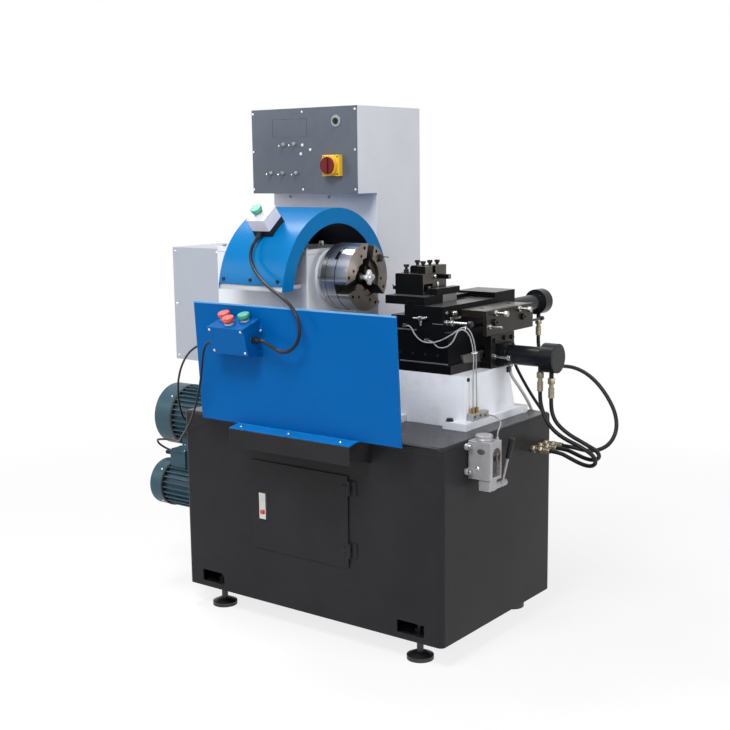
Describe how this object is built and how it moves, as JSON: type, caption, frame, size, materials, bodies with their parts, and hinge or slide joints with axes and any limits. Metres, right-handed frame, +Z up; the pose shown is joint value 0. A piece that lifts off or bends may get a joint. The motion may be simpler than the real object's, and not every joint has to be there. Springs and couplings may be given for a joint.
{
  "type": "chucking lathe",
  "caption": "Short hydraulic lathe: welded base, headstock with jaw chuck and guard, two-way tool slide, splash panel with push buttons, electrical cabinet.",
  "frame": {"origin": "floor level under the middle of the lathe's outer box, cords left out", "axes": "+X along the spindle from headstock to tool slide, +Y away from the operator, +Z up"},
  "size_m": [1.6357, 1.06, 1.619],
  "materials": {
    "black_paint": "satin",
    "blue_paint": "satin",
    "grey_paint": "satin",
    "slate_panel": "brushed",
    "white_paint": "satin",
    "teal_paint": "satin",
    "station_paint": "satin",
    "blackened_steel": "oiled",
    "ground_steel": "ground",
    "jaw_steel": "ground",
    "foot_steel": "blackened",
    "belt_rubber": "matt",
    "hose_rubber": "satin",
    "cable_sheath": "satin",
    "clear_tube": "translucent",
    "grey_conduit": "matt",
    "red_plastic": "gloss",
    "green_plastic": "gloss",
    "black_plastic": "satin",
    "pale_plastic": "satin",
    "nickel": "bright",
    "pump_metal": "cast and painted silver",
    "tank_paint": "satin"
  },
  "bodies": {
    "frame": {"base_cabinet": "black_paint", "levelling_feet": "foot_steel", "front_ledge": "black_paint", "splash_panel": "blue_paint", "button_station": "station_paint", "headstock": "white_paint", "headstock_cover": "white_paint", "spindle_bearings": "ground_steel", "drive_belts": "belt_rubber", "belt_guard": "grey_paint", "chuck_guard": "blue_paint", "guard_button_box": "pale_plastic", "main_motor": "teal_paint", "pump_motor": "teal_paint", "hydraulic_unit": "tank_paint", "electrical_cabinet": "grey_paint", "control_panel": "slate_panel", "pedestal": "white_paint", "slide_bed": "blackened_steel", "long_cylinder": "blackened_steel", "oil_pump": "pump_metal", "button_cable": "cable_sheath", "motor_cable": "cable_sheath", "pump_cable": "cable_sheath", "hose_1": "hose_rubber", "hose_2": "hose_rubber", "hose_3": "hose_rubber", "hose_4": "hose_rubber", "oil_tube_1": "clear_tube", "oil_tube_2": "clear_tube", "oil_feed_tube": "clear_tube", "drain_conduit": "grey_conduit"},
    "spindle": {"spindle": "ground_steel", "spindle_drive": "ground_steel", "chuck_body": "ground_steel"},
    "draw_tube": {"draw_tube": "ground_steel"},
    "jaw_1": {"chuck_jaw_1": "jaw_steel"},
    "jaw_2": {"chuck_jaw_2": "jaw_steel"},
    "jaw_3": {"chuck_jaw_3": "jaw_steel"},
    "motor_rotor": {"main_motor_rotor": "ground_steel"},
    "pump_rotor": {"pump_rotor": "ground_steel"},
    "long_slide": {"long_slide": "blackened_steel", "stop_plate": "blackened_steel", "cross_cylinder": "blackened_steel"},
    "cross_slide": {"cross_slide": "blackened_steel", "tool_post": "blackened_steel"},
    "door": {"cabinet_door": "black_paint"},
    "lock_button": {"door_lock_button": "red_plastic"},
    "stop_1": {"stop_button_1": "red_plastic"},
    "stop_2": {"stop_button_2": "red_plastic"},
    "start": {"start_button": "green_plastic"},
    "guard_push": {"guard_button": "green_plastic"},
    "isolator": {"isolator_knob": "red_plastic"},
    "selector": {"selector_knob": "black_plastic"},
    "toggle_1": {"toggle_1": "nickel"},
    "toggle_2": {"toggle_2": "nickel"},
    "toggle_3": {"toggle_3": "nickel"},
    "toggle_4": {"toggle_4": "nickel"},
    "toggle_5": {"toggle_5": "nickel"},
    "oil_lever": {"oil_pump_lever": "nickel"}
  },
  "joints": [
    {"name": "spindle_spin", "type": "hinge", "parent": "frame", "child": "spindle", "pos_m": [0, -0.1, 1.08], "axis": [1, 0, 0], "continuous": true},
    {"name": "motor_spin", "type": "hinge", "parent": "frame", "child": "motor_rotor", "pos_m": [-0.55, -0.02, 0.535], "axis": [1, 0, 0], "continuous": true},
    {"name": "pump_spin", "type": "hinge", "parent": "frame", "child": "pump_rotor", "pos_m": [-0.5, -0.182, 0.33], "axis": [1, 0, 0], "continuous": true},
    {"name": "draw_slide", "type": "slide", "parent": "spindle", "child": "draw_tube", "axis": [-1, 0, 0], "range_m": [0, 0.016]},
    {"name": "jaw_1_slide", "type": "slide", "parent": "spindle", "child": "jaw_1", "axis": [0, -0.9563, -0.2924], "range_m": [0, 0.0037]},
    {"name": "jaw_2_slide", "type": "slide", "parent": "spindle", "child": "jaw_2", "axis": [0, 0.225, 0.9744], "range_m": [0, 0.0037]},
    {"name": "jaw_3_slide", "type": "slide", "parent": "spindle", "child": "jaw_3", "axis": [0, 0.7314, -0.682], "range_m": [0, 0.0037]},
    {"name": "long_travel", "type": "slide", "parent": "frame", "child": "long_slide", "axis": [1, 0, 0], "range_m": [-0.05, 0.025], "deforming": ["hose_3", "hose_4", "oil_tube_1", "oil_tube_2"]},
    {"name": "cross_travel", "type": "slide", "parent": "long_slide", "child": "cross_slide", "axis": [0, 1, 0], "range_m": [-0.04, 0.06]},
    {"name": "door_hinge", "type": "hinge", "parent": "frame", "child": "door", "pos_m": [0.329, -0.38, 0.395], "axis": [0, 0, 1], "range_deg": [0, 110]},
    {"name": "lock_push", "type": "slide", "parent": "door", "child": "lock_button", "axis": [0, 1, 0], "range_m": [0, 0.003], "stiffness_N_per_m": 400},
    {"name": "stop_1_push", "type": "slide", "parent": "frame", "child": "stop_1", "axis": [0, 0.3172, -0.9483], "range_m": [0, 0.005], "stiffness_N_per_m": 500},
    {"name": "stop_2_push", "type": "slide", "parent": "frame", "child": "stop_2", "axis": [0, 0.3172, -0.9483], "range_m": [0, 0.005], "stiffness_N_per_m": 500},
    {"name": "start_push", "type": "slide", "parent": "frame", "child": "start", "axis": [0, 0.3172, -0.9483], "range_m": [0, 0.005], "stiffness_N_per_m": 500},
    {"name": "guard_push", "type": "slide", "parent": "frame", "child": "guard_push", "axis": [0, 0.6293, -0.7771], "range_m": [0, 0.005], "stiffness_N_per_m": 500},
    {"name": "isolator_turn", "type": "hinge", "parent": "frame", "child": "isolator", "pos_m": [-0.122, 0.11, 1.424], "axis": [0, 1, 0], "range_deg": [0, 90]},
    {"name": "selector_turn", "type": "hinge", "parent": "frame", "child": "selector", "pos_m": [-0.111, 0.13, 1.571], "axis": [0, 1, 0], "range_deg": [-45, 45]},
    {"name": "toggle_1_flip", "type": "hinge", "parent": "frame", "child": "toggle_1", "pos_m": [-0.343, 0.141, 1.497], "axis": [-1, 0, 0], "range_deg": [0, 24]},
    {"name": "toggle_2_flip", "type": "hinge", "parent": "frame", "child": "toggle_2", "pos_m": [-0.296, 0.141, 1.498], "axis": [-1, 0, 0], "range_deg": [0, 24]},
    {"name": "toggle_3_flip", "type": "hinge", "parent": "frame", "child": "toggle_3", "pos_m": [-0.402, 0.141, 1.401], "axis": [-1, 0, 0], "range_deg": [0, 24]},
    {"name": "toggle_4_flip", "type": "hinge", "parent": "frame", "child": "toggle_4", "pos_m": [-0.349, 0.141, 1.4], "axis": [-1, 0, 0], "range_deg": [0, 24]},
    {"name": "toggle_5_flip", "type": "hinge", "parent": "frame", "child": "toggle_5", "pos_m": [-0.288, 0.141, 1.4], "axis": [-1, 0, 0], "range_deg": [0, 24]},
    {"name": "oil_lever_swing", "type": "hinge", "parent": "frame", "child": "oil_lever", "pos_m": [0.698, -0.132, 0.508], "axis": [0, 1, 0], "range_deg": [0, 55]}
  ],
  "couplings": [
    {"joint": "motor_spin", "follows": "spindle_spin", "ratio": 1.4},
    {"joint": "jaw_1_slide", "follows": "draw_slide", "ratio": 0.23125},
    {"joint": "jaw_2_slide", "follows": "draw_slide", "ratio": 0.23125},
    {"joint": "jaw_3_slide", "follows": "draw_slide", "ratio": 0.23125}
  ]
}
